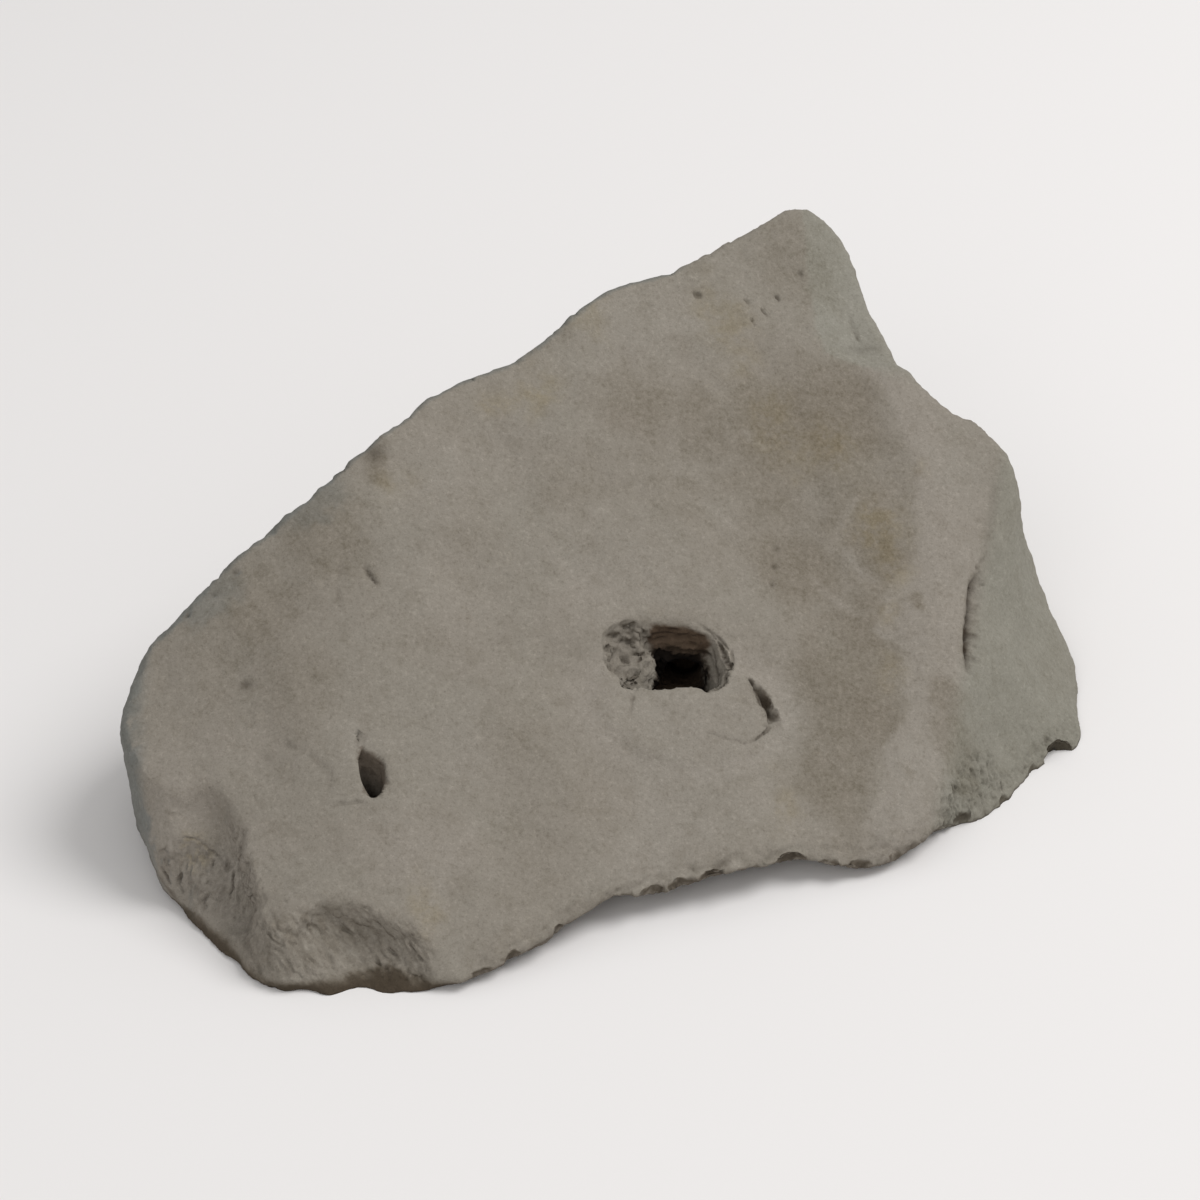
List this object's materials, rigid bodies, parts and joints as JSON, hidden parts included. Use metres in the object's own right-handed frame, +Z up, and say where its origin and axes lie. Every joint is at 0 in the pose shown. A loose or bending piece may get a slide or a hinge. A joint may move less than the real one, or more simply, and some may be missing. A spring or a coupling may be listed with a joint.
{
  "type": "moon rock",
  "caption": "Loose wedge-shaped boulder of pale grey lunar rock: one big smooth sloping face with a cave-like pit and a small slot, broken walls and a flat underside.",
  "frame": {"origin": "on the ground, under the middle of the rock's bounding box", "axes": "+X along the rock's length, towards the peak's end; +Y from the low front edge to the high rear crest; +Z up"},
  "size_m": [0.305, 0.2574, 0.1283],
  "materials": {
    "stone": "matt weathered grey-brown stone, paler on the smooth face, with darker broken edges and pits"
  },
  "bodies": {
    "root": {"rock": "stone"}
  },
  "joints": []
}
